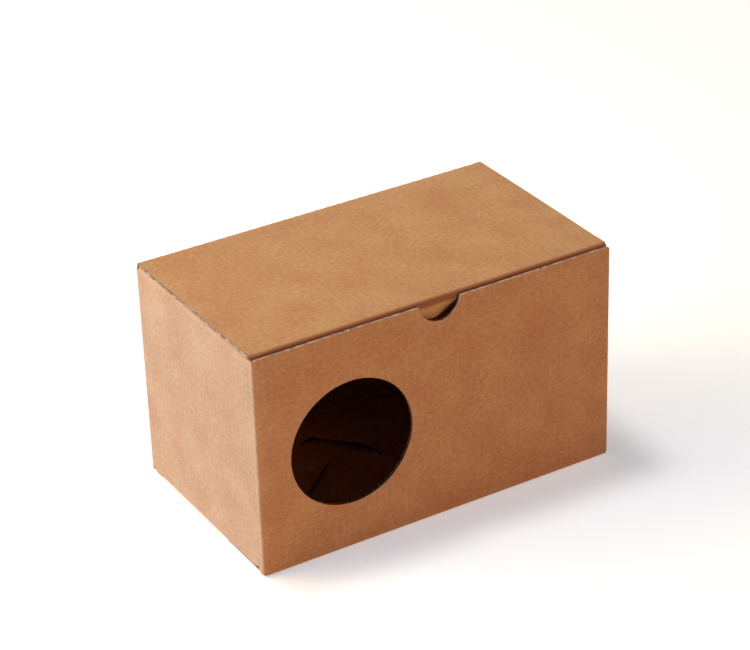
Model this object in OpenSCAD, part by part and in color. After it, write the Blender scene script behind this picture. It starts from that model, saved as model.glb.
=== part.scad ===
// Mug box: a tuck-top carton folded from one die-cut sheet of kraft micro-flute board.
// The origin is the middle of the footprint, on the surface that the box stands on.
// +X runs along the length, the front wall with the round window faces -Y, +Z is up.

/* [Box] */
// Outside length, left to right
box_l = 190; // [150:1:260]
// Outside depth, front to back
box_d = 110; // [90:1:150]
// Height of the side walls, up to the outer face of the dust flaps
box_h = 111.6; // [95:0.1:150]

/* [Board] */
// Thickness of the corrugated board
board_t = 1.8; // [1.2:0.1:2.2]
// Thickness of each of its two flat liners
liner_t = 0.3; // [0.2:0.05:0.35]
// Thickness of the fluted ply between the liners
medium_t = 0.2; // [0.15:0.05:0.25]
// Distance from one flute to the next
flute_pitch = 3.35; // [3:0.05:3.6]
// Outer radius of the creases between and below the walls
crease_r = 1; // [0.4:0.1:1.2]
// Running clearance between the lid's tuck flap and the walls
tuck_gap = 0.3; // [0.2:0.05:0.6]
// Clearance between two layers that only lie on each other
layer_gap = 0.1; // [0.05:0.05:0.3]

/* [Window] */
// Diameter of the round window
window_d = 63.4; // [30:0.1:72]
// Centre of the window, from the left end of the box
window_x = 48.8; // [40:0.1:80]
// Centre of the window, above the surface that the box stands on
window_z = 55.3; // [42:0.1:62]

/* [Thumb notch] */
// Width of the notch at the front wall's top edge
notch_w = 22; // [12:0.5:30]
// Depth of the notch below the front wall's top edge
notch_depth = 9.6; // [5:0.1:14]
// Distance of the notch's middle from the middle of the box
notch_x = 1.6; // [-20:0.1:20]

/* [Lid] */
// How far the lid's ends are set in from the ends of the box
lid_setin = 0.6; // [0:0.1:1.5]
// Length of the tuck flap, below the lid
tuck_len = 24; // [16:0.5:34]
// Corner radius of the tuck flap
tuck_corner_r = 9; // [3:0.5:14]
// Cut-back of the tuck flap's fold at its ends
tuck_relief = 1.5; // [0.5:0.1:4]
// Lean of the tuck flap beyond what its swing past the front wall needs, in degrees
tuck_spare_lean = 1.1; // [0.3:0.1:5]

/* [Front wall] */
// Height of the front wall's cut top edge above the dust flaps
front_rise = 0.6; // [0:0.1:1.6]

/* [Dust flaps] */
// Length of a dust flap, from the end of the box
dust_len = 58; // [30:1:70]
// Set-back of a dust flap's front edge, behind the front wall's outer face
dust_setback = 6.2; // [5.6:0.1:12]
// Narrowing of a dust flap's tip, on each side
dust_taper = 11; // [4:0.5:16]
// Corner radius of a dust flap's tip
dust_corner_r = 8; // [2:0.5:12]

/* [Glue tab] */
// Reach of the glue tab, forward from the back wall along the right wall
tab_w = 28; // [14:1:40]
// Slant of the glue tab's ends
tab_slant = 5; // [2:0.5:9]
// Distance of the glue tab's ends from the bottom and top folds
tab_margin = 3; // [1:0.5:8]

/* [Bottom] */
// How far each lock flap's deep half reaches past the middle of the floor
lock_reach = 33.5; // [20:0.5:36]
// How far a deep half's hooked tip reaches past the middle, along the box
hook_reach = 4; // [2:0.5:7]
// How far the hooked tip reaches past the middle of the floor, towards the other flap's wall
hook_y = 22; // [12:0.5:30]
// Where a deep half's far edge turns towards its hooked tip, from the middle of the box
hook_turn_x = 10; // [4:0.5:20]
// Play between the two lock flaps where their edges cross in the middle
lock_play = 2; // [1:0.5:4]
// Neck of the hook: where the shallow half's edge turns, from the middle of the floor
neck_x = 3; // [2:0.5:6]
// Neck of the hook, from the middle of the floor towards the flap's own wall
neck_y = 11; // [6:0.5:16]
// Where a lock flap's shallow half stops lying on the other flap, along the box
fall_x = 19; // [14:0.5:23]
// How far the shallow half has drawn back there, from the middle of the floor
fall_y = 33; // [22:0.5:38]
// Depth of a lock flap beside the end wall, at its shallow end
fall_end = 6; // [3:0.5:12]
// Play between a deep half's far edge and the other lock flap
meet_play = 0.5; // [0.3:0.1:1.5]
// Width of the corner of a lock flap that is glued to an end flap
glue_corner_w = 34; // [20:1:44]
// Set-in of the lock flaps' ends, from the ends of the box
lock_setin = 1.4; // [0.6:0.1:4]
// Width of the diagonal score that a glued corner turns on
score_w = 0.8; // [0.4:0.1:1.2]
// Depth of that score
score_depth = 0.3; // [0.1:0.05:0.5]
// Distance of an end flap's tip from the middle of the box
end_tip_x = 25; // [24:0.5:50]
// Distance of an end flap's tip from the middle of the floor, towards the free side
end_tip_y = 8; // [0:0.5:16]
// Width of an end flap's straight tip
end_tip_w = 30; // [8:0.5:34]
// Set-in of an end flap's root, from the long wall that it is not joined to
end_flap_setin = 3; // [1:0.5:6]

/* [Hidden] */
$fn = 64;
FLUTE_STEPS = 5;
KRAFT_OUTSIDE = [0.76, 0.57, 0.41];
KRAFT_LID = [0.77, 0.58, 0.40];

// Half sizes and levels that the panels share
half_l = box_l / 2;
half_d = box_d / 2;
inner_l = half_l - board_t;
inner_d = half_d - board_t;
end_floor = 2 * board_t;
wall_top = box_h - board_t;
front_top = box_h + front_rise;
tab_low = end_floor + tab_margin;
tab_high = wall_top - tab_margin;

// The lid turns about the back wall's outer face, on the level of its own underside
lid_under = box_h + layer_gap;
lid_half_l = half_l - lid_setin;
lid_front = inner_d - tuck_gap;
tuck_half_l = inner_l - 2 * tuck_gap;
tuck_root_half_l = tuck_half_l - tuck_relief;

// The tuck flap is a chord of the arc that its tip swings through about the lid's hinge
tuck_swing_r = half_d + lid_front;
tuck_lean = asin(tuck_len / (2 * tuck_swing_r)) + tuck_spare_lean;

// A shallow notch is an arc of a circle: radius from its chord and depth
notch_r = (notch_w * notch_w / 4 + notch_depth * notch_depth) / (2 * notch_depth);

// A lock flap's shallow half rises just enough to lie on the other flap's deep tip
lock_rise = atan((board_t + layer_gap) / (inner_d - lock_reach));

// Section of a fold that fills the corner from -X to +Y about the origin, rounded outside
module fold_section(r) {
    intersection() {
        translate([-board_t, 0])
            square(board_t);
        union() {
            translate([r - board_t, board_t - r])
                circle(r = r);
            translate([r - board_t, -board_t])
                square(2 * board_t);
            translate([-board_t, -board_t])
                square([2 * board_t, 2 * board_t - r]);
        }
    }
}

// A crease along X, with its outside towards -Y and -Z
module crease_x(len, r = crease_r) {
    translate([-len / 2, 0, 0])
        rotate([90, 0, 90])
            linear_extrude(height = len)
                mirror([0, 1])
                    fold_section(r);
}

// A crease along Y, at the left end: its outside is towards -X and +Z
module crease_y(from, to) {
    translate([0, to, 0])
        rotate([90, 0, 0])
            linear_extrude(height = to - from) {
                fold_section(crease_r);
                crease_roots();
            }
}

// The parts of its section that run on into the wall below and into the flap beside it
module crease_roots() {
    translate([-board_t, -layer_gap])
        square([board_t, 2 * layer_gap]);
    translate([-layer_gap, 0])
        square([2 * layer_gap, board_t]);
}

// An upright crease, with its outside towards -X and +Y
module crease_z(len) {
    linear_extrude(height = len)
        fold_section(crease_r);
}

// Space between two crests of the fluted ply, under the liner on the +Y side
module flute_space() {
    half_w = flute_pitch / 2 - medium_t;
    wave = (board_t - 2 * liner_t - medium_t) / 2;
    polygon([
        for (i = [0 : FLUTE_STEPS])
            let (x = half_w * (2 * i / FLUTE_STEPS - 1))
                [x, medium_t * 0.6 - wave * cos(360 * x / flute_pitch)]
    ]);
}

// Section of the spaces on both sides of the fluted ply, over a width of board
module flute_section(width) {
    count = floor(width / flute_pitch) - 1;
    for (i = [0 : count - 1])
        translate([(i - count / 2 + 0.25) * flute_pitch, 0]) {
            flute_space();
            translate([flute_pitch / 2, 0])
                mirror([0, 1])
                    flute_space();
        }
}

// Flutes that run along Y through a flat panel, and out of its cut edge
module flutes(width, from, to) {
    translate([0, to, board_t / 2])
        rotate([90, 0, 0])
            linear_extrude(height = to - from)
                flute_section(width);
}

// A flat panel of board cut to the outline that is given as children
module panel() {
    linear_extrude(height = board_t)
        children();
}

// Repeats what is at the left end of the box at the right end, as a mirror image
module both_ends() {
    children();
    mirror([1, 0, 0])
        children();
}

// Repeats a flap half a turn round the box, as the other flap of its pair
module opposite_pair() {
    children();
    rotate([0, 0, 180])
        children();
}

module front_wall() {
    difference() {
        translate([-inner_l, -half_d, board_t])
            cube([2 * inner_l, board_t, front_top - board_t]);
        translate([0, -half_d + board_t / 2, 2 * board_t])
            linear_extrude(height = front_top)
                flute_section(2 * inner_l);
        window_cut();
        notch_cut();
    }
}

module window_cut() {
    translate([window_x - half_l, -half_d - board_t, window_z])
        rotate([-90, 0, 0])
            cylinder(d = window_d, h = 3 * board_t, $fn = 128);
}

module notch_cut() {
    translate([notch_x, -half_d - board_t, front_top - notch_depth + notch_r])
        rotate([-90, 0, 0])
            cylinder(r = notch_r, h = 3 * board_t, $fn = 128);
}

module back_wall() {
    translate([-inner_l, inner_d, board_t])
        cube([2 * inner_l - board_t, board_t, box_h - board_t]);
}

// The end walls stand one board higher than the long walls, on the glued flaps
module end_wall() {
    translate([-half_l, -inner_d, end_floor])
        cube([board_t, 2 * inner_d, wall_top - end_floor]);
}

// Upright creases at three corners; the fourth is the glued joint
module corner_folds() {
    fold_h = box_h - end_floor;
    translate([-inner_l, inner_d, end_floor])
        crease_z(fold_h);
    translate([-inner_l, -inner_d, end_floor])
        mirror([0, 1, 0])
            crease_z(fold_h);
    translate([inner_l, -inner_d, end_floor])
        rotate([0, 0, 180])
            crease_z(fold_h);
}

// The joint at the right rear corner: the back wall folds in behind the right wall's cut end
module glued_joint() {
    translate([inner_l, inner_d, end_floor])
        cube([board_t, board_t, wall_top - end_floor]);
    translate([inner_l - board_t, inner_d, tab_low])
        mirror([1, 0, 0])
            crease_z(tab_high - tab_low);
    translate([inner_l, inner_d, 0])
        rotate([0, -90, 0])
            linear_extrude(height = board_t)
                glue_tab_outline();
}

// The glue tab seen from the end: X here is the height, Y runs back from the tab's root
module glue_tab_outline() {
    polygon([
        [tab_low, 0],
        [tab_low + tab_slant, -tab_w],
        [tab_high - tab_slant, -tab_w],
        [tab_high, 0]
    ]);
}

// A dust flap at the left end; its fold is as long as the end wall, and the flap is set back
module dust_flap() {
    translate([-inner_l, 0, wall_top])
        crease_y(-inner_d + layer_gap, inner_d - layer_gap);
    translate([0, 0, wall_top])
        panel()
            dust_flap_outline();
}

module dust_flap_outline() {
    root_front = -half_d + dust_setback;
    root_back = inner_d - layer_gap;
    tip_x = -half_l + dust_len;
    tip_front = root_front + dust_taper + dust_corner_r;
    tip_back = root_back - dust_taper - dust_corner_r;
    polygon([
        [-inner_l, root_front],
        [tip_x - dust_corner_r, root_front + dust_taper],
        [tip_x - dust_corner_r, root_back - dust_taper],
        [-inner_l, root_back]
    ]);
    translate([tip_x - 2 * dust_corner_r, tip_front])
        square([2 * dust_corner_r, tip_back - tip_front]);
    for (y = [tip_front, tip_back])
        translate([tip_x - dust_corner_r, y])
            circle(r = dust_corner_r);
}

// An end flap at the left end of the floor, glued on the front lock flap's corner
module end_flap() {
    translate([-inner_l, 0, end_floor])
        mirror([0, 0, 1])
            crease_y(-inner_d + end_flap_setin, inner_d - layer_gap);
    translate([0, 0, board_t])
        panel()
            end_flap_outline();
}

// The slanted front edge runs beside the diagonal crease of the lock flap below
module end_flap_outline() {
    polygon([
        [-inner_l, -inner_d + end_flap_setin],
        [-end_tip_x, end_tip_y],
        [-end_tip_x - end_flap_setin, end_tip_y + end_tip_w],
        [-inner_l, inner_d - layer_gap]
    ]);
}

// The front lock flap: its deep half is at the left, under the left end flap
module lock_flap() {
    translate([0, -inner_d, board_t])
        crease_x(2 * inner_l);
    difference() {
        panel() {
            lock_deep_outline();
            lock_root_outline();
        }
        diagonal_score();
    }
    translate([0, -inner_d, 0])
        rotate([lock_rise, 0, 0])
            translate([0, inner_d, 0])
                panel()
                    lock_shallow_outline();
}

// The deep half carries the glued corner, and its hooked tip reaches past the middle
module lock_deep_outline() {
    polygon([
        [-half_l + lock_setin, -inner_d],
        [-half_l + lock_setin, -inner_d + glue_corner_w],
        [-half_l + glue_corner_w, lock_reach],
        [-hook_turn_x, lock_reach],
        [hook_reach, hook_y],
        [-lock_play / 2, 0],
        [-lock_play / 2, -inner_d]
    ]);
}

// The score in the deep half's underside, on which its glued corner turns
module diagonal_score() {
    translate([-inner_l, -inner_d, 0])
        rotate([0, 0, 45])
            translate([2 * board_t, -score_w / 2, -board_t])
                cube([sqrt(2) * (inner_d + lock_reach), score_w, board_t + score_depth]);
}

// The shallow half lies on the other flap's hook
module lock_shallow_outline() {
    polygon([
        [-lock_play / 2, -inner_d],
        [-lock_play / 2, 0],
        [neck_x, -neck_y],
        [fall_x, -fall_y],
        [fall_x, -inner_d]
    ]);
}

// Beyond it the flap lies flat again, under the other end flap
module lock_root_outline() {
    polygon([
        [fall_x - board_t, -inner_d],
        [fall_x - board_t, -lock_reach - meet_play],
        [end_tip_x + 2 * end_flap_setin, -lock_reach - meet_play],
        [half_l - lock_setin, -inner_d + fall_end],
        [half_l - lock_setin, -inner_d]
    ]);
}

// Everything of the sheet that stays with the walls
module box_body() {
    color(KRAFT_OUTSIDE) {
        front_wall();
        back_wall();
        both_ends() {
            end_wall();
            dust_flap();
        }
        corner_folds();
        glued_joint();
        opposite_pair() {
            end_flap();
            lock_flap();
        }
    }
}

// The lid panel, from the back fold to the start of the front fold
module lid_panel() {
    translate([-lid_half_l, -lid_front + board_t, lid_under])
        cube([2 * lid_half_l, lid_front - board_t + inner_d, board_t]);
}

// The folds at the lid's back and front edges
module lid_folds() {
    translate([0, inner_d, lid_under])
        rotate([180, 0, 0])
            crease_x(2 * lid_half_l, board_t);
    translate([0, -lid_front + board_t, lid_under])
        mirror([0, 0, 1])
            crease_x(2 * lid_half_l, board_t);
}

// The tuck flap hangs from the front fold and leans in, so that its tip clears the front wall
module tuck_flap() {
    translate([0, -lid_front + board_t, lid_under])
        rotate([tuck_lean, 0, 0])
            translate([0, -board_t, 0])
                rotate([90, 0, 0])
                    mirror([0, 0, 1])
                        difference() {
                            panel()
                                tuck_outline();
                            flutes(2 * tuck_half_l, -tuck_len - board_t, -tuck_relief);
                        }
    translate([0, -lid_front + board_t, lid_under])
        tuck_bend();
}

// The bend between the front fold and the leaning flap, about the fold's own axis
module tuck_bend() {
    rotate([0, -90, 0])
        linear_extrude(height = 2 * (tuck_root_half_l + layer_gap), center = true)
            intersection() {
                circle(r = board_t);
                polygon([
                    [0, 0],
                    [0, -2 * board_t],
                    [-2 * board_t * tan(tuck_lean), -2 * board_t]
                ]);
            }
}

module tuck_outline() {
    low = -tuck_len;
    r = tuck_corner_r;
    translate([-tuck_root_half_l, low + r])
        square([2 * tuck_root_half_l, tuck_len - r]);
    translate([-tuck_half_l, low + r])
        square([2 * tuck_half_l, tuck_len - r - tuck_relief]);
    translate([-tuck_half_l + r, low])
        square([2 * (tuck_half_l - r), r + board_t]);
    for (x = [-tuck_half_l + r, tuck_half_l - r])
        translate([x, low + r])
            circle(r = r);
}

module lid() {
    color(KRAFT_LID) {
        lid_panel();
        lid_folds();
        tuck_flap();
    }
}

box_body();
lid();
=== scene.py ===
"""Finish of a mug box: one folded sheet of three-ply kraft micro-flute board.

The sheet is drawn flat, as it is cut, and every ply of it is then folded up round the same
creases. Lengths in the drawing are in millimetres, and what goes to the scene is in metres.
"""
import math

import bpy
import numpy as np
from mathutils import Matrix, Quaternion, Vector
from mathutils.geometry import delaunay_2d_cdt


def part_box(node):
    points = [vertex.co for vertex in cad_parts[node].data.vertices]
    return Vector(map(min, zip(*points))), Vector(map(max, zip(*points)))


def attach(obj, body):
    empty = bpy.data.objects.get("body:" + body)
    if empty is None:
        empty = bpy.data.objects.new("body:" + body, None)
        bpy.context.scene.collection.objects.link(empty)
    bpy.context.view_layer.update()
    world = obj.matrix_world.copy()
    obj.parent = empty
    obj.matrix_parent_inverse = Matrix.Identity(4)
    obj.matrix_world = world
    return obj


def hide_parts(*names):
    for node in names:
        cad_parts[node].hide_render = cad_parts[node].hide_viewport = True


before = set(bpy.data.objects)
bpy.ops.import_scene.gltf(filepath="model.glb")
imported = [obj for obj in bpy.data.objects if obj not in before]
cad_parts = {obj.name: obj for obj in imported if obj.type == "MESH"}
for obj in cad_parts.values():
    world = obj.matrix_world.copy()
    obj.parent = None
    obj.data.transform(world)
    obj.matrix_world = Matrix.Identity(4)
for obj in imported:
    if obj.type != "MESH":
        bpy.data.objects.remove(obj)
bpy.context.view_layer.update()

bl_info = {
    "name": "Mug box finish",
    "version": (1, 0, 0),
    "blender": (4, 5, 0),
    "location": "3D View > Sidebar > Mug box",
    "description": "Dresses the packed mug box as folded micro-flute board",
    "category": "Object",
}

MM = 0.001
BODY_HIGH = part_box("box_body")[1] / MM
LID_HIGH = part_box("lid")[1] / MM

# The box: half sizes of its outside, the board, and the levels of its creases and rims
HALF_L = round(BODY_HIGH.x, 1)
HALF_D = round(BODY_HIGH.y, 1)
BOARD = 1.8
INNER_L = HALF_L - BOARD
INNER_D = HALF_D - BOARD
END_FLOOR = 2 * BOARD
FRONT_TOP = round(BODY_HIGH.z, 1)
BOX_TOP = 111.6
WALL_TOP = BOX_TOP - BOARD

# Length of sheet in a crease of the box, whose outside is sharper than the lid's folds
CREASE_R = 1.0
CREASE = 2 * (BOARD - CREASE_R) + math.pi / 2 * CREASE_R

# Window, its middle and radius, and thumb notch, on the front wall
WINDOW = (-46.2, 55.3, 31.7)
NOTCH_X, NOTCH_W, NOTCH_DEPTH = 1.6, 22.0, 9.6
NOTCH_R = (NOTCH_W**2 / 4 + NOTCH_DEPTH**2) / (2 * NOTCH_DEPTH)

# Lid: the tuck flap leans in, so that its tip passes the front wall
LID_HALF_L = round(LID_HIGH.x, 1)
LID_UNDER = round(LID_HIGH.z, 1) - BOARD
LID_FRONT = 51.1
LID_LEAN = math.radians(7.49)
TUCK_HALF_L, TUCK_ROOT_L, TUCK_LEN, TUCK_R, TUCK_RELIEF = 92.6, 91.1, 24.0, 9.0, 1.5
FRONT_FOLD = BOARD * (math.pi / 2 + LID_LEAN)
HINGE_FOLD = BOARD * math.pi / 2

# How far the panels bow out or in, at most
BOW = 0.22

# How deep thumbs have dented the tuck flap, and where the dent starts and ends along it
DENT, DENT_START, DENT_END = 3.4, (-3, 11), (15, 34)

# Seed and length of the slow waves in the box's panels, in the lid and along torn rims
BOX_WAVES, LID_WAVES, TORN_WAVES = (3, 90), (5, 110), (11, 3)

# On a crease the outer face dips, and the board is thinner by a share
BOX_DIP, BOX_THIN = 0.1, 0.15
LID_DIP, LID_THIN = 0.08, 0.12

# How far beside a crease the board is still bent
SHOULDER = 1.4

# Width of the slits beside the flaps at the foot, and how high the corners' outer ends stand
SLIT = 0.3
CORNER_RISE = 1.9

# How far the roots of the flaps reach from their wall's middle, at their long end and at an
# end flap's short end, past which the corner starts
ROOT_LONG, ROOT_SHORT, CORNER_FROM = 53.1, 50.2, 50.5

# Corners of a lock flap: along its wall from the middle, and in front of the wall's foot
LOCK_CORNERS = (
    (-93.6, 0.7), (-93.6, 34), (-61, 86.7), (-10, 86.7), (4, 75.2), (-1, 53.2),
    (3, 42.2), (19, 20.2), (27, 20.2), (31, 19.2), (93.6, 6), (93.6, 0.7),
)

# Its rise over the other flap's tip: the slope, where the rise starts and ends along the wall,
# and where it ends in front of the wall
LOCK_SLOPE = math.tan(math.radians(5.51))
LOCK_START, LOCK_END, LOCK_REACH = (-12, 0), (19, 27), (46, 62)

# Corners of an end flap's tip: behind its wall's middle, and from the middle of the floor
END_TIP = ((38, 28), (8, 25))

# Dust flaps
DUST_FRONT, DUST_BACK, DUST_TIP, DUST_TAPER, DUST_R = -48.8, 53.1, 37.0, 11.0, 8.0

# Where each wall begins along the sheet. The front wall's middle is nought.
LEFT_START = -INNER_L - CREASE
LEFT_END = LEFT_START - 2 * INNER_D
BACK_START = LEFT_END - CREASE
BACK_END = BACK_START - (2 * INNER_L - BOARD)
TAB_START = BACK_END - CREASE
TAB_LEN = 28
TAB_END = TAB_START - TAB_LEN
TAB_LOW, TAB_HIGH, TAB_SLANT = END_FLOOR + 3, WALL_TOP - 3, 5
RIGHT_START = INNER_L + CREASE
RIGHT_END = RIGHT_START + INNER_D + HALF_D

# Less than any feature: points this near a panel's end count as part of it
HAIR = 0.05

# The meshes: grid steps and rim steps of the liners and of the fluting, which is made only in
# a band along the rims, with no triangle longer than a limit
LINER_STEP, LINER_RIM_STEP = 6.0, 2.5
FLUTE_STEP, FLUTE_BAND, FLUTE_SIDE, STEPS_PER_FLUTE = 2.0, 4.5, 7, 8

# No grid point lies nearer to a rim than this, and sides that meet at more than this are sharp
LINER_GAP, FLUTE_GAP = 0.4, 0.15
SHARP = math.radians(50)

# The grid's lines over a crease, and how far off its shoulders' lines and the plain grid stand
CREASE_LINES, SHOULDER_LINES, CREASE_CLEAR = 8, (0.7, 1.5), 2.2

# How far the plies keep apart, and how far in from a rim the cutting die has closed the flutes
PLY_GAP = 0.01
RIM_DEPTH = 1.4

# The stage, in metres: half the floor's side, how far it lies under the box, and how far the
# lamps stand from the point that they face
FLOOR_HALF = 4.0
FLOOR_DROP = 0.05 * MM
LAMP_AIM = (0, 0, 0.05)
LAMP_DISTANCE = 1.5

# Lamps, named as their levels in the settings: direction, width, height and colour
LAMPS = (
    ("key", (-0.8, 0.35, 0.5), 0.9, 0.9, (1, 0.79, 0.44)),
    ("back", (-0.55, 0.65, 0.55), 1.4, 1.4, (1, 0.77, 0.51)),
    ("overhead", (-0.1, 0.18, 0.98), 0.3, 0.3, (1, 1, 1)),
    ("side", (-0.99, 0.05, 0.065), 0.6, 0.2, (0.06, 0.41, 1)),
    ("fill", (0.1, -0.98, 0.06), 1.2, 0.2, (1, 0.63, 0.42)),
)


# The sheet, drawn flat


def left_a(y):
    """Place along the sheet of a point of the left wall that is y behind the middle."""
    return LEFT_START - (y + INNER_D)


def right_a(y):
    """The same for the right wall, along which the sheet runs the other way."""
    return RIGHT_START + (y + INNER_D)


def back_a(x):
    """Place along the sheet of a point of the back wall that is x right of the middle."""
    return BACK_START - (x + INNER_L)


def lock_b(reach):
    """Place across the sheet of a point of a lock flap, reach in front of its own wall."""
    return BOARD - CREASE - reach


def end_b(reach):
    """The same for an end flap, whose crease is one board higher."""
    return END_FLOOR - CREASE - reach


def dust_b(reach):
    """The same for a dust flap, at the head of its wall."""
    return WALL_TOP + CREASE + reach


def arc(centre_a, centre_b, radius, start, end, steps):
    """Points of an arc from start to end, in degrees."""
    turn = np.radians(np.linspace(start, end, steps + 1))
    return [(centre_a + radius * math.cos(t), centre_b + radius * math.sin(t)) for t in turn]


def lock_flap(place):
    """Outline of a lock flap from its deep half's end to its shallow half's end."""
    return [(place(x), lock_b(reach)) for x, reach in LOCK_CORNERS]


def end_flap(place):
    """Outline of an end flap's tip: its slanted front edge ends at the middle of the floor."""
    return [(place(y), end_b(INNER_L - x)) for y, x in END_TIP]


def dust_flap(place, side):
    """Outline of a dust flap, with rounded corners at its tip."""
    tip = dust_b(INNER_L - DUST_TIP) - DUST_R
    back, front = place(DUST_BACK - DUST_TAPER - DUST_R), place(DUST_FRONT + DUST_TAPER + DUST_R)
    first, last = (back, front) if side == "right" else (front, back)
    return arc(first, tip, DUST_R, 0, 90, 10) + arc(last, tip, DUST_R, 90, 180, 10)


def box_outline():
    """The sheet that stays with the walls, counter-clockwise, seen from outside."""
    points = [(TAB_END, TAB_LOW + TAB_SLANT), (TAB_START, TAB_LOW), (BACK_END, TAB_LOW)]
    points += [(BACK_END, BOARD), (BACK_END, lock_b(0))]
    points += lock_flap(lambda x: back_a(-x))
    points += [(BACK_START, lock_b(0)), (BACK_START, BOARD), (BACK_START + SLIT, BOARD)]
    points += [(BACK_START + SLIT, SLIT), (LEFT_END, CORNER_RISE), (LEFT_END, END_FLOOR)]
    points += [(left_a(ROOT_LONG), END_FLOOR), (left_a(ROOT_LONG), end_b(0))]
    points += end_flap(left_a)
    points += [(left_a(-ROOT_SHORT), end_b(0)), (left_a(-ROOT_SHORT), END_FLOOR)]
    points += [(left_a(-CORNER_FROM), END_FLOOR), (left_a(-CORNER_FROM), CORNER_RISE)]
    points += [(-INNER_L - SLIT, SLIT), (-INNER_L - SLIT, BOARD)]
    points += [(-INNER_L, BOARD), (-INNER_L, lock_b(0))]
    points += lock_flap(lambda x: x)
    points += [(INNER_L, lock_b(0)), (INNER_L, BOARD), (INNER_L + SLIT, BOARD)]
    points += [(INNER_L + SLIT, SLIT), (RIGHT_START, CORNER_RISE), (RIGHT_START, END_FLOOR)]
    points += [(right_a(-ROOT_LONG), END_FLOOR), (right_a(-ROOT_LONG), end_b(0))]
    points += end_flap(lambda y: right_a(-y))
    points += [(right_a(ROOT_SHORT), end_b(0)), (right_a(ROOT_SHORT), END_FLOOR)]
    points += [(right_a(CORNER_FROM), END_FLOOR), (right_a(CORNER_FROM), CORNER_RISE)]
    points += [(RIGHT_END, CORNER_RISE), (RIGHT_END, WALL_TOP)]
    points += [(right_a(ROOT_LONG), WALL_TOP), (right_a(ROOT_LONG), dust_b(0))]
    points += dust_flap(right_a, "right")
    points += [(right_a(DUST_FRONT), dust_b(0)), (right_a(-ROOT_LONG), dust_b(0))]
    points += [(right_a(-ROOT_LONG), WALL_TOP)]
    points += [(RIGHT_START, WALL_TOP), (RIGHT_START, BOX_TOP), (INNER_L, BOX_TOP)]
    points += [(INNER_L, FRONT_TOP)]
    low = math.degrees(math.asin((NOTCH_R - NOTCH_DEPTH) / NOTCH_R))
    points += arc(NOTCH_X, FRONT_TOP - NOTCH_DEPTH + NOTCH_R, NOTCH_R, -low, low - 180, 48)
    points += [(-INNER_L, FRONT_TOP), (-INNER_L, BOX_TOP), (LEFT_START, BOX_TOP)]
    points += [(LEFT_START, WALL_TOP), (left_a(-ROOT_LONG), WALL_TOP)]
    points += [(left_a(-ROOT_LONG), dust_b(0)), (left_a(DUST_FRONT), dust_b(0))]
    points += dust_flap(left_a, "left")
    points += [(left_a(ROOT_LONG), dust_b(0)), (left_a(ROOT_LONG), WALL_TOP)]
    points += [(LEFT_END, WALL_TOP), (LEFT_END, BOX_TOP), (BACK_END, BOX_TOP)]
    points += [(BACK_END, TAB_HIGH), (TAB_START, TAB_HIGH), (TAB_END, TAB_HIGH - TAB_SLANT)]
    return points


def lid_outline():
    """The lid's sheet: nought is where the front fold starts, and up is towards the hinge."""
    low = -FRONT_FOLD - TUCK_LEN
    root = -FRONT_FOLD - TUCK_RELIEF
    hinge = LID_FRONT + INNER_D + HINGE_FOLD
    points = arc(TUCK_HALF_L - TUCK_R, low + TUCK_R, TUCK_R, -90, 0, 12)
    points += [(TUCK_HALF_L, root), (TUCK_ROOT_L, root), (TUCK_ROOT_L, -HINGE_FOLD)]
    points += [(LID_HALF_L, -HINGE_FOLD), (LID_HALF_L, hinge), (-LID_HALF_L, hinge)]
    points += [(-LID_HALF_L, -HINGE_FOLD), (-TUCK_ROOT_L, -HINGE_FOLD), (-TUCK_ROOT_L, root)]
    points += [(-TUCK_HALF_L, root)]
    points += arc(-TUCK_HALF_L + TUCK_R, low + TUCK_R, TUCK_R, 180, 270, 12)
    return points


# How the sheet folds up


def smooth(value, start, end):
    """0 before start, 1 after end, and a smooth step between them."""
    t = np.clip((value - start) / (end - start), 0, 1)
    return t * t * (3 - 2 * t)


def ridge(value, start, end):
    """1 on a crease from start to end, falling to 0 over its shoulders."""
    return smooth(value, start - SHOULDER, start) * (1 - smooth(value, end, end + SHOULDER))


def rolling(a, b, seed, scale):
    """Slow waves over the sheet, between about -1 and 1, that repeat for the same seed."""
    rng = np.random.default_rng(seed)
    total = np.zeros_like(a)
    count = 7
    for _ in range(count):
        turn, phase = rng.uniform(0, 2 * math.pi, 2)
        length = scale * rng.uniform(0.6, 1.8)
        total += np.sin((a * math.cos(turn) + b * math.sin(turn)) * 2 * math.pi / length + phase)
    return total / (count / 2)


def fold_over(distance, depth, radius, angle=math.pi / 2):
    """Out and up of a point that lies distance past a crease's start, and depth in the board.

    The outer face turns with a radius. The inner face turns sharply, in the inner corner.
    """
    flat = BOARD - radius
    turn = np.clip((distance - flat) / radius, 0, angle)
    rest = np.maximum(distance - flat - radius * angle, 0)
    out = radius * (np.cos(turn) - 1) - rest * math.sin(angle)
    up = np.minimum(distance, flat) + radius * np.sin(turn) + rest * math.cos(angle)
    past = np.maximum(distance - 2 * flat - radius * angle, 0)
    corner_out = -BOARD - past * math.sin(angle)
    corner_up = np.minimum(distance, 0) + past * math.cos(angle)
    share = depth / BOARD
    return out + (corner_out - out) * share, up + (corner_up - up) * share


def lock_lift(x, reach):
    """Rise of a lock flap, whose shallow half lies on the other flap's hooked tip."""
    half = smooth(x, *LOCK_START) * (1 - smooth(x, *LOCK_END))
    return LOCK_SLOPE * reach * half * (1 - smooth(reach, *LOCK_REACH))


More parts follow.
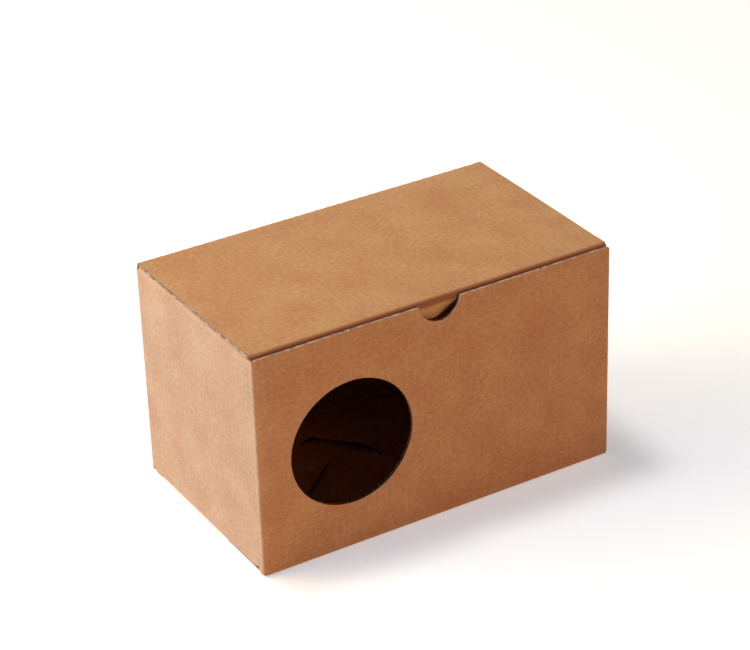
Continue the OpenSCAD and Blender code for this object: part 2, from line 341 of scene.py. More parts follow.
def box_folds(a, b):
    """How much each point of the sheet is part of a crease, from 0 to 1."""
    upright = sum(
        ridge(a, low, high)
        for low, high in (
            (LEFT_START, -INNER_L), (INNER_L, RIGHT_START), (BACK_START, LEFT_END),
            (TAB_START, BACK_END),
        )
    )
    ends = ((a < LEFT_START) & (a > LEFT_END)) | (a > RIGHT_START)
    low = np.where(ends, END_FLOOR, BOARD)
    level = ridge(b, low - CREASE, low)
    level += np.where(ends, ridge(b, WALL_TOP, WALL_TOP + CREASE), 0)
    return np.clip(np.maximum(upright, level), 0, 1)


def fold_box(a, b, depth):
    """Place of points of the box's sheet, depth inside its outer face."""
    # Rounding may have put points at the sheet's ends just outside it
    a = np.clip(a, TAB_END, RIGHT_END)
    folds = box_folds(a, b)
    depth = BOX_DIP * folds + depth * (1 - BOX_THIN * folds)
    above_floor = smooth(b, END_FLOOR, 30)
    depth = depth - BOW * rolling(a, b, *BOX_WAVES) * (1 - folds) * above_floor

    # The flaps turn at the foot or at the head of their wall, and the corners stand straight
    ends = ((a < LEFT_START - HAIR) & (a > LEFT_END + HAIR)) | (a > RIGHT_START + HAIR)
    corner_y = (ROOT_SHORT + CORNER_FROM) / 2
    upright = (
        ((a > BACK_START + 2 * HAIR) & (a < LEFT_END + HAIR))
        | ((a > left_a(-corner_y)) & (a < -INNER_L - 2 * HAIR))
        | ((a > INNER_L + 2 * HAIR) & (a < RIGHT_START + HAIR))
        | (a > right_a(corner_y))
    ) & (b > 0)
    low = np.where(ends, END_FLOOR, BOARD)
    out, up = -depth, b.copy()
    foot = (b < low) & ~upright
    out[foot], rise = fold_over((low - b)[foot], depth[foot], CREASE_R)
    up[foot] = low[foot] - rise
    head = (b > WALL_TOP) & ends
    out[head], rise = fold_over(b[head] - WALL_TOP, depth[head], CREASE_R)
    up[head] = WALL_TOP + rise

    # The plan of the walls: straight runs, and a quarter turn at each upright crease
    runs = [
        (TAB_END, TAB_START, (INNER_L, INNER_D - TAB_LEN), (0, 1)),
        (BACK_END, BACK_START, (INNER_L - BOARD, HALF_D), (-1, 0)),
        (LEFT_END, LEFT_START, (-HALF_L, INNER_D), (0, -1)),
        (-INNER_L, INNER_L, (-INNER_L, -HALF_D), (1, 0)),
        (RIGHT_START, RIGHT_END, (HALF_L, -INNER_D), (0, 1)),
    ]
    # Flaps reach a little past the ends of their walls, and the glue tab has none
    shares = [
        -math.inf, -math.inf, (BACK_START + LEFT_END) / 2, (LEFT_START - INNER_L) / 2,
        (INNER_L + RIGHT_START) / 2, math.inf,
    ]
    spot = np.zeros((len(a), 3))
    flap = ((b < BOARD) & ~upright) | (b > WALL_TOP + CREASE - 0.001)
    for index, (start, end, origin, along) in enumerate(runs):
        normal = np.array([along[1], -along[0]])
        mine = (a >= start) & (a <= end) & ~flap
        mine |= flap & (a > shares[index]) & (a < shares[index + 1])
        run = np.array(origin) + (a[mine, None] - start) * np.array(along)
        spot[mine, :2] = run + normal * out[mine, None]
        if index < len(runs) - 1:
            corner = (a > end) & (a < runs[index + 1][0]) & ~flap
            across, ahead = fold_over(a[corner] - end, depth[corner], CREASE_R)
            run = np.array(origin) + (end - start + ahead[:, None]) * np.array(along)
            spot[corner, :2] = run + normal * across[:, None]

    lock = foot & ~ends
    side = np.where(np.abs(a) <= INNER_L + 2, 1, -1)
    reach = np.maximum(lock_b(0) - b, 0)
    up[lock] += lock_lift(side * spot[:, 0], reach)[lock]
    spot[:, 2] = up
    return spot


def lid_folds(a, b):
    """The same for the lid's sheet."""
    hinge = LID_FRONT + INNER_D
    return np.clip(ridge(b, -FRONT_FOLD, 0) + ridge(b, hinge, hinge + HINGE_FOLD), 0, 1)


def fold_lid(a, b, depth):
    """Place of points of the lid's sheet, depth inside its outer face."""
    folds = lid_folds(a, b)
    depth = LID_DIP * folds + depth * (1 - LID_THIN * folds)
    behind_fold = smooth(b, -4, 12)
    depth = depth - BOW * rolling(a, b, *LID_WAVES) * (1 - folds) * behind_fold
    hinge = LID_FRONT + INNER_D
    y = b - LID_FRONT
    z = LID_UNDER + BOARD - depth
    rear = b > hinge
    rise, reach = fold_over(b[rear] - hinge, depth[rear], BOARD)
    y[rear] = INNER_D + reach
    z[rear] = LID_UNDER + BOARD + rise
    front = b < 0
    rise, reach = fold_over(-b[front], depth[front], BOARD, math.pi / 2 + LID_LEAN)
    y[front] = -LID_FRONT - reach
    z[front] = LID_UNDER + BOARD + rise

    # Thumbs have pushed the tuck flap in behind the notch's right half
    below = np.maximum(-FRONT_FOLD - b, 0)
    dent = smooth(a, *DENT_START) * (1 - smooth(a, *DENT_END)) * smooth(below, 0, 9)
    y[front] += DENT * dent[front] * (1 - 0.3 * smooth(below[front], 14, TUCK_LEN))
    return np.column_stack([a, y, z])


# The plies


def gap_to(points, outline):
    """Distance of each point from an outline's edges."""
    best = np.full(len(points), np.inf)
    corners = np.array(outline)
    for start, end in zip(corners, np.roll(corners, -1, axis=0)):
        edge = end - start
        along = np.clip((points - start) @ edge / max(edge @ edge, 1e-12), 0, 1)
        gap = points - start - along[:, None] * edge
        best = np.minimum(best, (gap * gap).sum(axis=1))
    return np.sqrt(best)


def inside(points, outline):
    """Which points lie inside a closed outline."""
    found = np.zeros(len(points), bool)
    corners = np.array(outline)
    for (x0, y0), (x1, y1) in zip(corners, np.roll(corners, -1, axis=0)):
        if y0 == y1:
            continue
        across = (points[:, 1] > y0) != (points[:, 1] > y1)
        found ^= across & (points[:, 0] < x0 + (points[:, 1] - y0) * (x1 - x0) / (y1 - y0))
    return found


def walk(outline, step, columns):
    """An outline's corners with points between them, at each column or a step apart."""
    points = []
    for (a0, b0), (a1, b1) in zip(outline, outline[1:] + outline[:1]):
        length = math.hypot(a1 - a0, b1 - b0)
        if length < 1e-6:
            continue
        cuts = set(np.linspace(0, 1, max(1, round(length / step)) + 1)[:-1])
        if columns is not None and abs(a1 - a0) > 0.5:
            passed = columns[(columns > min(a0, a1) + HAIR) & (columns < max(a0, a1) - HAIR)]
            cuts = {0.0} | {float((c - a0) / (a1 - a0)) for c in passed}
        points += [(a0 + (a1 - a0) * t, b0 + (b1 - b0) * t) for t in sorted(cuts)]
    return points


def cut_sheet(outline, holes, columns, rows, step, band=None):
    """Triangles of a flat sheet: its points, and their numbers, counter-clockwise.

    With a band, only the part that lies that near a rim is made.
    """
    by_column = columns if band else None
    loops = [walk(loop, step, by_column) for loop in [outline, *holes]]
    rims = [point for loop in loops for point in loop]
    edges, first = [], 0
    for loop in loops:
        count = len(loop)
        edges += [(first + i, first + (i + 1) % count) for i in range(count)]
        first += count
    grid = np.array([(a, b) for a in columns for b in rows])
    keep = inside(grid, outline)
    for hole in holes:
        keep &= ~inside(grid, hole)
    grid = grid[keep]
    close = np.zeros(len(grid), bool)
    banded = np.zeros(len(grid), bool)
    for loop in [outline, *holes]:
        gap = gap_to(grid, loop)
        close |= gap < (FLUTE_GAP if band else LINER_GAP)
        banded |= gap < (band or 0)
    grid = grid[~close & (banded if band else True)]
    points = [Vector(p) for p in rims] + [Vector(p) for p in grid]
    flat, _, faces, *_ = delaunay_2d_cdt(points, edges, [], 0, 1e-5, False)
    flat = np.array([tuple(p) for p in flat])
    faces = np.array([tuple(f) for f in faces])
    centres = flat[faces].mean(axis=1)
    wanted = inside(centres, outline)
    for hole in holes:
        wanted &= ~inside(centres, hole)
    if band:
        sides = flat[faces] - flat[np.roll(faces, -1, axis=1)]
        wanted &= np.sqrt((sides * sides).sum(axis=2)).max(axis=1) < FLUTE_SIDE
    faces = faces[wanted]
    first_side = flat[faces[:, 1]] - flat[faces[:, 0]]
    last_side = flat[faces[:, 2]] - flat[faces[:, 0]]
    turned = first_side[:, 0] * last_side[:, 1] - first_side[:, 1] * last_side[:, 0] < 0
    faces[turned] = faces[turned][:, ::-1]
    used = np.unique(faces)
    number = np.full(len(flat), -1)
    number[used] = np.arange(len(used))
    return flat[used], number[faces]


def rim_edges(faces):
    """Edges that only one triangle has, in that triangle's own direction."""
    sides = np.concatenate([faces[:, [0, 1]], faces[:, [1, 2]], faces[:, [2, 0]]])
    count = sides.max() + 1
    code = sides[:, 0] * count + sides[:, 1]
    back = sides[:, 1] * count + sides[:, 0]
    return sides[~np.isin(code, back)]


def make_ply(name, sheet, fold, folds, outer, inner, materials, body):
    """A ply of the board: a closed skin between two depths, which may vary over the sheet."""
    flat, faces = sheet
    a, b = flat[:, 0], flat[:, 1]
    skins, notes = [], []
    for depth in (outer, inner):
        level = depth(a, b) if callable(depth) else np.full(len(a), float(depth))
        skins.append(fold(a.copy(), b.copy(), level))
        notes.append(np.column_stack([a, b, level]))
    rims = rim_edges(faces)
    count = len(flat)
    sides = np.concatenate([
        np.column_stack([rims[:, 0], rims[:, 0] + count, rims[:, 1] + count]),
        np.column_stack([rims[:, 0], rims[:, 1] + count, rims[:, 1]]),
    ])
    polygons = np.concatenate([faces, faces[:, ::-1] + count, sides])
    mesh = bpy.data.meshes.new(name)
    mesh.from_pydata((np.concatenate(skins) * MM).tolist(), [], polygons.tolist())
    slots = np.zeros(len(polygons), np.int32)
    slots[2 * len(faces):] = 1
    mesh.polygons.foreach_set("material_index", slots)
    mesh.polygons.foreach_set("use_smooth", np.ones(len(polygons), bool))
    mesh.attributes.new("sheet", "FLOAT_VECTOR", "POINT").data.foreach_set(
        "vector", np.concatenate(notes).astype(np.float32).ravel()
    )
    mesh.attributes.new("crease", "FLOAT", "POINT").data.foreach_set(
        "value", np.tile(folds(a, b), 2).astype(np.float32)
    )
    mesh.set_sharp_from_angle(angle=SHARP)
    for material in materials:
        mesh.materials.append(material)
    piece = bpy.data.objects.new(name, mesh)
    bpy.context.scene.collection.objects.link(piece)
    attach(piece, body)
    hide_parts("box_body" if body == "box" else "lid")


def lines(start, end, step, creases):
    """Grid lines a step apart, closer over each crease and its shoulders."""
    found = list(np.arange(start, end, step))
    for low, high in creases:
        found = [v for v in found if not low - CREASE_CLEAR < v < high + CREASE_CLEAR]
        found += list(np.linspace(low, high, CREASE_LINES))
        for off in SHOULDER_LINES:
            found += [low - off, high + off]
    return np.array(sorted(found))


def box_crush(a, b):
    """How far the cutting die has closed the flutes at the box's rims: most along the top."""
    return 0.25 + 0.7 * smooth(b, 100, 111)


def lid_crush(a, b):
    """The same for the lid, whose side edges stay more open."""
    return 0.6 + 0.3 * smooth(-b, 0, 6)


def make_board(body, outline, holes, fold, folds, crush, creases_a, creases_b, board, paints):
    """The three plies of a folded sheet: two liners, and the fluting between them."""
    liner, medium = board.liner / MM, board.medium / MM
    pitch = board.pitch / MM
    low, high = np.array(outline).min(axis=0), np.array(outline).max(axis=0)
    columns = lines(low[0], high[0], LINER_STEP, creases_a)
    rows = lines(low[1], high[1], LINER_STEP, creases_b)
    sheet = cut_sheet(outline, holes, columns, rows, LINER_RIM_STEP)
    skins = [
        ("outer_liner", 0.0, liner, (paints["outside"], paints["edge"])),
        ("inner_liner", BOARD - liner, BOARD, (paints["inside"], paints["edge"])),
    ]
    for name, outer, inner, materials in skins:
        make_ply(f"{body}_{name}", sheet, fold, folds, outer, inner, materials, body)

    swing = (BOARD - 2 * liner - medium) / 2 - PLY_GAP
    columns = np.arange(low[0], high[0], pitch / STEPS_PER_FLUTE)
    rows = lines(low[1], high[1], FLUTE_STEP, creases_b)
    flutes = cut_sheet(outline, holes, columns, rows, FLUTE_STEP, FLUTE_BAND)

    def crushed(a, b):
        """Share of the space between the liners that torn fibres fill, right at a rim."""
        points = np.column_stack([a, b])
        rim = np.min([gap_to(points, loop) for loop in [outline, *holes]], axis=0)
        torn = 1 + 0.6 * rolling(a, b, *TORN_WAVES)
        return np.clip(crush(a, b) * torn, 0, 0.97) * (1 - smooth(rim, 0.1, RIM_DEPTH))

    def waved(a, b):
        """Depth of the fluting's middle, which the creases press flatter."""
        flat = 1 - 0.5 * folds(a, b)
        return BOARD / 2 - swing * flat * np.sin(2 * math.pi * a / pitch)

    def outer(a, b):
        wave = waved(a, b) - medium / 2
        return wave + (liner + PLY_GAP + 0.2 * folds(a, b) - wave) * crushed(a, b)

    def inner(a, b):
        wave = waved(a, b) + medium / 2
        return wave + (BOARD - liner - PLY_GAP - wave) * crushed(a, b)

    paint = (paints["fluting"], paints["edge"])
    make_ply(f"{body}_fluting", flutes, fold, folds, outer, inner, paint, body)


# The materials


class Socket:
    """One output of a material's node, on which plain arithmetic adds Math nodes."""

    def __init__(self, shader, socket):
        self.shader = shader
        self.socket = socket

    def math(self, operation, *values):
        numbered = dict(enumerate(values))
        return self.shader.node("ShaderNodeMath", {"operation": operation}, numbered)

    def __add__(self, other):
        return self.math("ADD", self, other)

    def __radd__(self, other):
        return self.math("ADD", other, self)

    def __sub__(self, other):
        return self.math("SUBTRACT", self, other)

    def __rsub__(self, other):
        return self.math("SUBTRACT", other, self)

    def __mul__(self, other):
        return self.math("MULTIPLY", self, other)

    def __rmul__(self, other):
        return self.math("MULTIPLY", other, self)


class Shader:
    """A node tree that is written as expressions."""

    def __init__(self, tree):
        self.tree = tree
        tree.nodes.clear()

    def node(self, kind, settings=None, values=None, output=0):
        """Adds a node: its settings first, and then the values or links of its sockets."""
        made = self.tree.nodes.new(kind)
        for name, value in (settings or {}).items():
            setattr(made, name, value)
        for name, value in (values or {}).items():
            if isinstance(value, Socket):
                self.tree.links.new(value.socket, made.inputs[name])
            else:
                made.inputs[name].default_value = value
        return Socket(self, made.outputs[output]) if len(made.outputs) else None

    def mix(self, factor, first, second):
        """Mixes two colours."""
        settings = {"data_type": "RGBA"}
        return self.node("ShaderNodeMix", settings, {0: factor, 6: first, 7: second}, 2)

    def sheet(self):
        """Place on the flat sheet, in millimetres: along, across, and depth in the board."""
        return self.node("ShaderNodeAttribute", {"attribute_name": "sheet"}, {}, "Vector")

    def part(self, vector, axis):
        """One number of a vector."""
        return self.node("ShaderNodeSeparateXYZ", {}, {0: vector}, axis)

    def seen(self):
        """1 for what the camera sees, directly, in a reflection or through glass."""
        camera, mirrored, through = (
            self.node("ShaderNodeLightPath", {}, {}, kind)
            for kind in ("Is Camera Ray", "Is Glossy Ray", "Is Transmission Ray")
        )
        return camera.math("MAXIMUM", camera, mirrored.math("MAXIMUM", mirrored, through))

    def stretched(self, vector, scale):
        """A vector with each of its numbers scaled on its own."""
        settings = {"operation": "MULTIPLY"}
        return self.node("ShaderNodeVectorMath", settings, {0: vector, 1: scale})

    def noise(self, vector, scale, detail=2.0, rough=0.5):
        values = {"Vector": vector, "Scale": scale, "Detail": detail, "Roughness": rough}
        return self.node("ShaderNodeTexNoise", {}, values)

    def step(self, value, start, end):
        """A smooth step from 0 at start to 1 at end."""
        settings = {"interpolation_type": "SMOOTHSTEP"}
        values = {"Value": value, "From Min": start, "From Max": end}
        return self.node("ShaderNodeMapRange", settings, values)


def tinted(colour, factor):
    """A colour made lighter or darker, as numbers."""
    return tuple(min(1.0, c * factor) for c in colour[:3]) + (1.0,)


def kraft_shift(colour, shift):
    """Kraft made paler and yellower, or darker and redder where shift is below nought."""
    spread = (0.6, 1.25, 1.5)
    return tuple(min(1.0, c * (1 + shift * s)) for c, s in zip(colour, spread)) + (1.0,)


def new_shader(name):
    """A new material, and the tree to write it in."""
    material = bpy.data.materials.new(name)
    material.use_nodes = True
    return material, Shader(material.node_tree)


def paint_kraft(name, colour, finish, pitch, fold=None):
    """Kraft liner: fibres that lie across the flutes, mottling, and the flutes showing through,
    in bumps and in faint painted shade.

    The creases are painted paler in patches, partly as wear and partly as a painted highlight,
    and a lid's front fold is painted darker, to the colour fold, as painted shade.
    """
    material, shader = new_shader(name)
    sheet = shader.sheet()
    crease = shader.node("ShaderNodeAttribute", {"attribute_name": "crease"}, {}, "Fac")

    cloud = shader.noise(sheet, 0.045, 3.0)
    mottle = shader.noise(sheet, 0.45, 4.0, 0.65)
    fibre = shader.noise(shader.stretched(sheet, (0.32, 1.7, 1.0)), 1.0, 5.0, 0.75)
    hair = shader.noise(shader.stretched(sheet, (0.5, 5.0, 1.0)), 1.3)
    turns = shader.part(sheet, "X") * (2 * math.pi * MM / pitch)
    flute = turns.math("SINE", turns)
    fade = shader.noise(sheet, 0.03, 1.0)
    speck = shader.step(shader.noise(sheet, 1.9, 1.0), 0.71, 0.78)

    # The flutes' term in the tone is painted shade of the washboard over the flutes, which the
    # bump also gives
    tone = (cloud - 0.5) * 0.6 + (mottle - 0.5) * 0.8 + (fibre - 0.5) * 1.1 + flute * 0.015
    light, dark = kraft_shift(colour, finish.contrast), kraft_shift(colour, -finish.contrast)
    base = shader.mix(shader.step(tone * finish.grain + 0.5, 0.0, 1.0), dark, light)
    pale = shader.step(hair, 0.6, 0.76) * 0.4
    base = shader.mix(pale, base, tinted(colour, 1.28))
    base = shader.mix(speck * 0.35, base, tinted(colour, 0.55))
    # Creases painted paler in patches: partly wear, and partly a painted highlight along the
    # crease's turn
    wear_and_highlight = crease * shader.step(shader.noise(sheet, 0.8, 4.0, 0.7), 0.35, 0.7)
    base = shader.mix(wear_and_highlight * 0.5, base, tinted(colour, 1.3))
    # Painted shade: on a lid, the front fold, which turns away from the lamps, is painted down to
    # the dark red-brown colour fold
    if fold is not None:
        across = shader.part(sheet, "Y")
        turned = shader.step(0 - across, -1.2, 2.2) * shader.step(across, -6.0, -3.5)
        base = shader.mix(turned * 0.92, base, tuple(fold))

    height = flute * 0.03 * fade + fibre * 0.035 + mottle * 0.02 + hair * 0.012
    bump = shader.node(
        "ShaderNodeBump", {}, {"Strength": 0.55, "Distance": MM, "Height": height}
    )
    rough = 0.58 + (mottle - 0.5) * 0.18 + (fibre - 0.5) * 0.1
    surface = shader.node(
        "ShaderNodeBsdfPrincipled",
        {},
        {
            "Base Color": base,
            "Roughness": rough,
            "Normal": bump,
            "Specular IOR Level": finish.gloss,
            "Sheen Weight": finish.sheen,
            "Sheen Roughness": 0.45,
        },
    )
    shader.node("ShaderNodeOutputMaterial", {}, {"Surface": surface})
    return material


def paint_raw(name, colour, contrast, painted_shade=False, span=0.2):
    """Torn and cut fibres. Where asked, those under the outer liner are painted dark as shade,
    but for torn specks.
    """
    material, shader = new_shader(name)
    sheet = shader.sheet()
    torn = shader.noise(sheet, 2.4, 4.0, 0.7)
    patch = shader.noise(sheet, 0.35, 2.0)
    tone = shader.step(torn * 0.6 + patch * 0.4, 0.5 - span, 0.5 + span)
    base = shader.mix(tone, tinted(colour, 1 - contrast), tinted(colour, 1 + contrast))
    # Painted shade: under the outer liner, cut fibres are painted near black as in the shaded rim
    # of the window, but for torn specks; above about 100 mm up the sheet, along the top edges,
    # the painted shade starts deeper in
    if painted_shade:
        reach = 1.1 * shader.step(shader.part(sheet, "Y"), 95.0, 100.0)
        depth = shader.part(sheet, "Z") + torn * 0.5 - 0.25
        inner = shader.step(depth - reach, 0.0, 0.35)
        spared = shader.step(shader.noise(sheet, 0.55, 1.0), 0.66, 0.72)
        base = shader.mix(inner * (1 - spared) * 0.95, base, (0.05, 0.028, 0.018, 1.0))
    bump = shader.node(
        "ShaderNodeBump", {}, {"Strength": 0.6, "Distance": 0.3 * MM, "Height": torn}
    )
    surface = shader.node(
        "ShaderNodeBsdfPrincipled",
        {},
        {
            "Base Color": base,
            "Roughness": 0.85 + torn * 0.1,
            "Normal": bump,
            "Specular IOR Level": 0.2,
        },
    )
    shader.node("ShaderNodeOutputMaterial", {}, {"Surface": surface})
    return material


def paint_floor(studio):
    """Pale floor: the camera sees it white, but for the soft shadow and what is under the box."""
    material, shader = new_shader("studio_floor")
    matte = shader.node("ShaderNodeBsdfDiffuse", {}, {"Color": tuple(studio.floor_colour)})
    pale = shader.node("ShaderNodeBsdfDiffuse", {}, {"Color": tuple(studio.floor_seen)})
    glow = shader.node(
        "ShaderNodeEmission", {}, {"Color": (1, 1, 1, 1), "Strength": studio.floor_lift}
    )
    bright = shader.node("ShaderNodeAddShader", {}, {0: pale, 1: glow})
    place = shader.node("ShaderNodeNewGeometry", {}, {}, "Position")
    x, y = shader.part(place, "X"), shader.part(place, "Y")
    under = x.math("COMPARE", x, 0.0, INNER_L * MM) * y.math("COMPARE", y, 0.0, INNER_D * MM)
    bright = shader.node("ShaderNodeMixShader", {}, {0: under, 1: bright, 2: matte})
    surface = shader.node("ShaderNodeMixShader", {}, {0: shader.seen(), 1: matte, 2: bright})
    shader.node("ShaderNodeOutputMaterial", {}, {"Surface": surface})
    return material


def paint_world(studio):
    """White surround for the camera and for reflections, and a plain dim one for the light."""
    world = bpy.data.worlds.new("studio")
    world.use_nodes = True
    shader = Shader(world.node_tree)
    white = shader.node("ShaderNodeBackground", {}, {"Color": (1, 1, 1, 1), "Strength": 1.0})
    dim = shader.node(
        "ShaderNodeBackground",
        {},
        {"Color": tuple(studio.ambient_colour), "Strength": studio.ambient},
    )
    surface = shader.node("ShaderNodeMixShader", {}, {0: shader.seen(), 1: dim, 2: white})
    shader.node("ShaderNodeOutputWorld", {}, {"Surface": surface})
    bpy.context.scene.world = world


# The settings


class BoardSettings(bpy.types.PropertyGroup):
    """Build of the corrugated board."""

    liner: bpy.props.FloatProperty(
        name="Liner", description="Thickness of each liner", default=0.3 * MM,
        subtype="DISTANCE", unit="LENGTH", precision=5,
    )
    medium: bpy.props.FloatProperty(
        name="Fluting", description="Thickness of the fluted ply", default=0.2 * MM,
        subtype="DISTANCE", unit="LENGTH", precision=5,
    )
    pitch: bpy.props.FloatProperty(
        name="Flute pitch", description="Distance from one flute to the next",
        default=3.35 * MM, subtype="DISTANCE", unit="LENGTH", precision=5,
    )


class KraftSettings(bpy.types.PropertyGroup):
    """Colours and surface of the kraft paper."""

    outside: bpy.props.FloatVectorProperty(
        name="Outside", description="Kraft liner on the walls", size=4, subtype="COLOR",
        default=(0.52, 0.25, 0.105, 1.0), min=0, max=1,
    )
    lid: bpy.props.FloatVectorProperty(
        name="Lid", description="Kraft liner on the lid", size=4, subtype="COLOR",
        default=(0.53, 0.27, 0.112, 1.0), min=0, max=1,
    )
    inside: bpy.props.FloatVectorProperty(
        name="Inside", description="Kraft liner inside the box", size=4, subtype="COLOR",
        default=(0.48, 0.25, 0.11, 1.0), min=0, max=1,
    )
    # Partly the fluting's own brown, and partly painted shade: it is darker than the liners, as
    # the fluting lies in shade between them
    fluting: bpy.props.FloatVectorProperty(
        name="Fluting", description="Brown fluted ply", size=4, subtype="COLOR",
        default=(0.3, 0.15, 0.07, 1.0), min=0, max=1,
    )
    edge: bpy.props.FloatVectorProperty(
        name="Cut edge", description="Raw fibres where the box's board is cut", size=4,
        subtype="COLOR", default=(0.5, 0.34, 0.23, 1.0), min=0, max=1,
    )
    lid_edge: bpy.props.FloatVectorProperty(
        name="Lid's cut edge", description="Raw fibres along the lid's sides", size=4,
        subtype="COLOR", default=(0.36, 0.235, 0.14, 1.0), min=0, max=1,
    )
    # Painted shade: the dark red-brown painted over the lid's front fold, where shade falls,
    # rather than the liner's own colour
    fold: bpy.props.FloatVectorProperty(
        name="Front fold", description="Stretched liner along the lid's front fold", size=4,
        subtype="COLOR", default=(0.26, 0.068, 0.022, 1.0), min=0, max=1,
    )
    contrast: bpy.props.FloatProperty(
        name="Contrast", description="Span of the kraft's light and dark", default=0.27,
        min=0, max=0.5, subtype="FACTOR",
    )
    grain: bpy.props.FloatProperty(
        name="Grain", description="Strength of the fibres and mottling", default=1.3,
        min=0, max=3,
    )
    gloss: bpy.props.FloatProperty(
        name="Gloss", description="Specular level of the liner", default=0.3, min=0, max=1,
        subtype="FACTOR",
    )
    sheen: bpy.props.FloatProperty(
        name="Sheen", description="Soft light on the paper's fuzz at a low angle",
        default=0.1, min=0, max=1, subtype="FACTOR",
    )


class StudioSettings(bpy.types.PropertyGroup):
    """Camera, lamps and floor."""

    place: bpy.props.FloatVectorProperty(
        name="Camera place", description="Where the camera stands", size=3,
        default=(-0.5513, -0.9395, 0.6800), subtype="TRANSLATION", unit="LENGTH",
    )
    aim: bpy.props.FloatVectorProperty(
        name="Camera aim", description="Direction in which the camera looks", size=3,
        default=(0.44241, 0.75421, -0.48522), subtype="DIRECTION",
    )
    roll: bpy.props.FloatProperty(
        name="Camera roll", description="Tilt of the camera about its own line of sight",
        default=math.radians(-1.964), subtype="ANGLE", unit="ROTATION",
    )
    lens: bpy.props.FloatProperty(
        name="Lens", description="Focal length, in millimetres", default=127.69,
    )
    key: bpy.props.FloatProperty(
        name="Key", description="Level of the lamp at the left, above the box", default=0.62,
    )
    back: bpy.props.FloatProperty(
        name="Back", description="Level of the large lamp behind the box", default=0.54,
    )
    overhead: bpy.props.FloatProperty(
        name="Overhead", description="Level of the lamp above the box", default=0.36,
    )
    side: bpy.props.FloatProperty(
        name="Side", description="Level of the cool strip low at the left", default=1.13,
    )
    fill: bpy.props.FloatProperty(
        name="Fill", description="Level of the warm strip low in front", default=0.385,
    )
    ambient: bpy.props.FloatProperty(
        name="Ambient", description="Level of the plain light from all round", default=0.03,
    )
    ambient_colour: bpy.props.FloatVectorProperty(
        name="Ambient colour", description="Colour of that light", size=4, subtype="COLOR",
        default=(0.5, 0.8, 1.0, 1.0), min=0, max=1,
    )
    floor_colour: bpy.props.FloatVectorProperty(
        name="Floor", description="Colour of the floor for the light that it returns", size=4,
        subtype="COLOR", default=(0.8, 0.72, 0.64, 1.0), min=0, max=1,
    )
    floor_seen: bpy.props.FloatVectorProperty(
        name="Floor's shade", description="Colour of the floor that takes the shadow", size=4,
        subtype="COLOR", default=(0.98, 0.98, 0.98, 1.0), min=0, max=1,
    )
    floor_lift: bpy.props.FloatProperty(
        name="Floor's white", description="White that the floor shows of itself", default=0.43,
    )


# The operators


def paints_of(context):
    """The materials, made when they are first asked for."""
    kraft = context.scene.mug_box_kraft
    pitch = context.scene.mug_box_board.pitch
    made = bpy.data.materials
    if "kraft_outside" not in made:
        paint_kraft("kraft_outside", kraft.outside, kraft, pitch)
        paint_kraft("kraft_lid", kraft.lid, kraft, pitch, kraft.fold)
        paint_kraft("kraft_inside", kraft.inside, kraft, pitch)
        # The fluting's colour is partly its own brown and partly painted shade between the liners
        paint_raw("kraft_fluting_and_shade", kraft.fluting, 0.2)
        # The box's cut edges carry painted shade under the outer liner
        paint_raw("cut_edge", kraft.edge, 0.45, True, 0.1)
        paint_raw("lid_cut_edge", kraft.lid_edge, 0.65, False, 0.07)
    return made


class MUGBOX_OT_box_sheet(bpy.types.Operator):
    """Walls, flaps and floor: the folded sheet that stays with the box"""

    bl_idname = "mugbox.box_sheet"
    bl_label = "Box sheet"

    def execute(self, context):
        made = paints_of(context)
        window = arc(*WINDOW, 0, 360, 144)[:-1]
        upright = [
            (TAB_START, BACK_END), (BACK_START, LEFT_END), (LEFT_START, -INNER_L),
            (INNER_L, RIGHT_START),
        ]
        level = [
            (BOARD - CREASE, BOARD), (END_FLOOR - CREASE, END_FLOOR),
            (WALL_TOP, WALL_TOP + CREASE),
        ]
        paints = {
            "outside": made["kraft_outside"], "inside": made["kraft_inside"],
            "edge": made["cut_edge"], "fluting": made["kraft_fluting_and_shade"],
        }
        make_board(
            "box", box_outline(), [window], fold_box, box_folds, box_crush, upright, level,
            context.scene.mug_box_board, paints,
        )
        return {"FINISHED"}


class MUGBOX_OT_lid_sheet(bpy.types.Operator):
    """Lid, its front fold and the tuck flap"""

    bl_idname = "mugbox.lid_sheet"
    bl_label = "Lid sheet"

    def execute(self, context):
        made = paints_of(context)
        hinge = LID_FRONT + INNER_D
        paints = {
            "outside": made["kraft_lid"], "inside": made["kraft_inside"],
            "edge": made["lid_cut_edge"], "fluting": made["kraft_fluting_and_shade"],
        }
        make_board(
            "lid", lid_outline(), [], fold_lid, lid_folds, lid_crush, [],
            [(-FRONT_FOLD, 0), (hinge, hinge + HINGE_FOLD)],
            context.scene.mug_box_board, paints,
        )
        return {"FINISHED"}


def add_lamp(name, towards, level, width, height, colour):
    """A softbox that lights a face turned to it at the given level."""
    lamp = bpy.data.lights.new(name, "AREA")
    lamp.shape = "RECTANGLE"
    lamp.size, lamp.size_y = width, height
    lamp.energy = level * math.pi**2 * LAMP_DISTANCE**2
    lamp.color = colour
    holder = bpy.data.objects.new(name, lamp)
    direction = Vector(towards).normalized()
    holder.location = Vector(LAMP_AIM) + direction * LAMP_DISTANCE
    holder.rotation_euler = direction.to_track_quat("Z", "Y").to_euler()
    bpy.context.scene.collection.objects.link(holder)


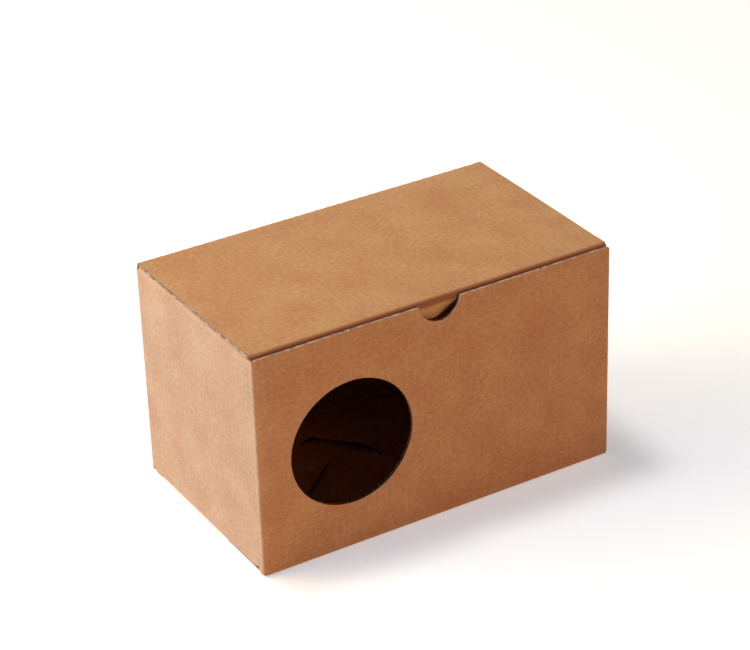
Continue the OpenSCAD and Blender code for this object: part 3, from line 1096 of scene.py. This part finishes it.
class MUGBOX_OT_stage(bpy.types.Operator):
    """Floor, lamps, surround and camera"""

    bl_idname = "mugbox.stage"
    bl_label = "Stage"

    def execute(self, context):
        scene = context.scene
        studio = scene.mug_box_studio
        mesh = bpy.data.meshes.new("floor")
        corners = [
            (x * FLOOR_HALF, y * FLOOR_HALF, -FLOOR_DROP)
            for x, y in ((-1, -1), (1, -1), (1, 1), (-1, 1))
        ]
        mesh.from_pydata(corners, [], [(0, 1, 2, 3)])
        mesh.materials.append(paint_floor(studio))
        floor = bpy.data.objects.new("floor", mesh)
        scene.collection.objects.link(floor)
        paint_world(studio)
        for name, towards, width, height, colour in LAMPS:
            add_lamp(name, towards, getattr(studio, name), width, height, colour)

        optics = bpy.data.cameras.new("camera")
        optics.lens = studio.lens
        optics.sensor_width = 36
        optics.sensor_fit = "HORIZONTAL"
        optics.clip_start = 0.05
        camera = bpy.data.objects.new("camera", optics)
        camera.rotation_mode = "QUATERNION"
        camera.location = studio.place
        turn = Vector(studio.aim).to_track_quat("-Z", "Y")
        camera.rotation_quaternion = turn @ Quaternion((0, 0, 1), studio.roll)
        scene.collection.objects.link(camera)
        scene.camera = camera
        scene.view_settings.view_transform = "Standard"
        return {"FINISHED"}


class MUGBOX_PT_finish(bpy.types.Panel):
    """Sizes, colours and steps of the mug box's finish"""

    bl_label = "Mug box"
    bl_idname = "MUGBOX_PT_finish"
    bl_space_type = "VIEW_3D"
    bl_region_type = "UI"
    bl_category = "Mug box"

    def draw(self, context):
        for owner in (
            context.scene.mug_box_board, context.scene.mug_box_kraft,
            context.scene.mug_box_studio,
        ):
            column = self.layout.column()
            for name in owner.__annotations__:
                column.prop(owner, name)
        for step in STEPS:
            self.layout.operator(step.bl_idname)


STEPS = (MUGBOX_OT_stage, MUGBOX_OT_box_sheet, MUGBOX_OT_lid_sheet)
CLASSES = (BoardSettings, KraftSettings, StudioSettings, *STEPS, MUGBOX_PT_finish)


def register():
    """Registers the classes, and hangs the settings on the scene."""
    for cls in CLASSES:
        bpy.utils.register_class(cls)
    scene = bpy.types.Scene
    scene.mug_box_board = bpy.props.PointerProperty(type=BoardSettings)
    scene.mug_box_kraft = bpy.props.PointerProperty(type=KraftSettings)
    scene.mug_box_studio = bpy.props.PointerProperty(type=StudioSettings)


def unregister():
    """Takes the settings and the classes away again."""
    scene = bpy.types.Scene
    del scene.mug_box_board, scene.mug_box_kraft, scene.mug_box_studio
    for cls in reversed(CLASSES):
        bpy.utils.unregister_class(cls)


def main():
    """Makes the stage and the pieces."""
    register()
    bpy.ops.mugbox.stage()
    bpy.ops.mugbox.box_sheet()
    bpy.ops.mugbox.lid_sheet()


if __name__ == "__main__":
    main()
